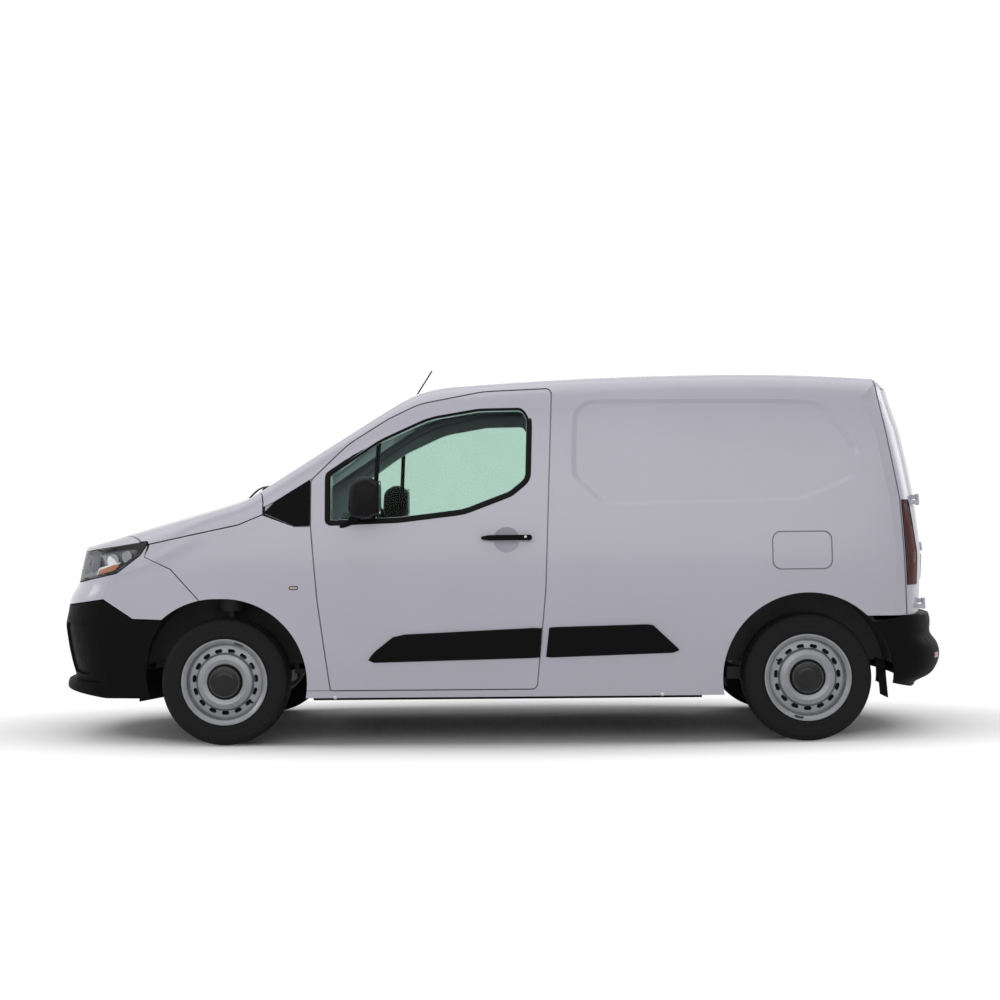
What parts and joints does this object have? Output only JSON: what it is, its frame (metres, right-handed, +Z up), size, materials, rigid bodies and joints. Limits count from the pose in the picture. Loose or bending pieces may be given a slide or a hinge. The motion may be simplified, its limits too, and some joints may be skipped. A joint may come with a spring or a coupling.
{
  "type": "panel van",
  "caption": "Small two-seat panel van with front side doors, a sliding side door, hinged rear doors, bonnet, fuel flap, steered front wheels and a closed load space.",
  "frame": {"origin": "on the ground under the middle of the van's overall box", "axes": "+X towards the tail, -Y towards the driver's left side, +Z up"},
  "size_m": [4.3914, 2.106, 1.8628],
  "materials": {
    "paint": "gloss",
    "black_plastic": "matt",
    "steel": "matt",
    "wheel_silver": "satin",
    "tyre": "matt",
    "glass": "gloss",
    "lamp_clear": "gloss",
    "lamp_red": "gloss",
    "interior": "matt",
    "seat_fabric": "matt",
    "exhaust_steel": "satin",
    "engine_iron": "matt"
  },
  "bodies": {
    "body": {"side_left": "paint", "side_right": "paint", "sliding_door": "paint", "fender_left": "paint", "fender_right": "paint", "bumper_front": "paint", "roof": "paint", "cladding_side_left": "black_plastic", "cladding_side_right": "black_plastic", "pillar_cover_left": "black_plastic", "pillar_cover_right": "black_plastic", "bumper_lower": "black_plastic", "bumper_rear": "black_plastic", "grille": "black_plastic", "cowl": "black_plastic", "antenna": "black_plastic", "fuel_tank": "black_plastic", "handle_sliding": "black_plastic", "windscreen": "glass", "headlamp_left": "lamp_clear", "headlamp_right": "lamp_clear", "tail_lamp_left": "lamp_red", "tail_lamp_right": "lamp_red", "floor": "steel", "subframe": "steel", "rear_axle": "steel", "bulkhead": "steel", "dashboard": "interior", "steering_wheel": "interior", "seat_left": "seat_fabric", "seat_right": "seat_fabric", "exhaust": "exhaust_steel", "engine": "engine_iron"},
    "left_door": {"door_left": "paint", "door_glass_left": "glass", "cladding_door_left": "black_plastic", "mirror_left": "black_plastic", "handle_left": "black_plastic"},
    "right_door": {"door_right": "paint", "door_glass_right": "glass", "cladding_door_right": "black_plastic", "mirror_right": "black_plastic", "handle_right": "black_plastic"},
    "left_rear_door": {"rear_door_left": "paint"},
    "right_rear_door": {"rear_door_right": "paint"},
    "bonnet_lid": {"bonnet": "paint"},
    "filler_flap": {"fuel_flap": "paint"},
    "left_knuckle": {"knuckle_left": "steel"},
    "right_knuckle": {"knuckle_right": "steel"},
    "left_front_wheel": {"wheel_front_left": "wheel_silver", "tyre_front_left": "tyre"},
    "right_front_wheel": {"wheel_front_right": "wheel_silver", "tyre_front_right": "tyre"},
    "left_rear_wheel": {"wheel_rear_left": "wheel_silver", "tyre_rear_left": "tyre"},
    "right_rear_wheel": {"wheel_rear_right": "wheel_silver", "tyre_rear_right": "tyre"}
  },
  "joints": [
    {"name": "left_door_hinge", "type": "hinge", "parent": "body", "child": "left_door", "pos_m": [-0.8865, -0.9185, 0.75], "axis": [0, 0, -1], "range_deg": [0, 68]},
    {"name": "left_rear_door_hinge", "type": "hinge", "parent": "body", "child": "left_rear_door", "pos_m": [2.05394, -0.736, 0.65], "axis": [0.0474, 0, -0.9989], "range_deg": [0, 180]},
    {"name": "left_steer", "type": "hinge", "parent": "body", "child": "left_knuckle", "pos_m": [-1.3095, -0.64, 0.308], "axis": [0, 0, 1], "range_deg": [-33, 33]},
    {"name": "left_front_wheel_spin", "type": "hinge", "parent": "left_knuckle", "child": "left_front_wheel", "pos_m": [-1.3095, -0.7765, 0.308], "axis": [0, 1, 0], "continuous": true},
    {"name": "left_rear_wheel_spin", "type": "hinge", "parent": "body", "child": "left_rear_wheel", "pos_m": [1.4755, -0.7765, 0.308], "axis": [0, 1, 0], "continuous": true},
    {"name": "right_door_hinge", "type": "hinge", "parent": "body", "child": "right_door", "pos_m": [-0.8865, 0.9185, 0.75], "axis": [0, 0, 1], "range_deg": [0, 68]},
    {"name": "right_rear_door_hinge", "type": "hinge", "parent": "body", "child": "right_rear_door", "pos_m": [2.05394, 0.736, 0.65], "axis": [-0.0474, 0, 0.9989], "range_deg": [0, 180]},
    {"name": "right_steer", "type": "hinge", "parent": "body", "child": "right_knuckle", "pos_m": [-1.3095, 0.64, 0.308], "axis": [0, 0, 1], "range_deg": [-33, 33]},
    {"name": "right_front_wheel_spin", "type": "hinge", "parent": "right_knuckle", "child": "right_front_wheel", "pos_m": [-1.3095, 0.7765, 0.308], "axis": [0, 1, 0], "continuous": true},
    {"name": "right_rear_wheel_spin", "type": "hinge", "parent": "body", "child": "right_rear_wheel", "pos_m": [1.4755, 0.7765, 0.308], "axis": [0, 1, 0], "continuous": true},
    {"name": "bonnet_hinge", "type": "hinge", "parent": "body", "child": "bonnet_lid", "pos_m": [-1.09, 0, 1.195], "axis": [0, 1, 0], "range_deg": [0, 55]},
    {"name": "filler_flap_hinge", "type": "hinge", "parent": "body", "child": "filler_flap", "pos_m": [1.3125, -0.9137, 0.914], "axis": [0, 0, -1], "range_deg": [0, 100]}
  ],
  "couplings": [
    {"joint": "right_steer", "follows": "left_steer", "ratio": 1}
  ]
}
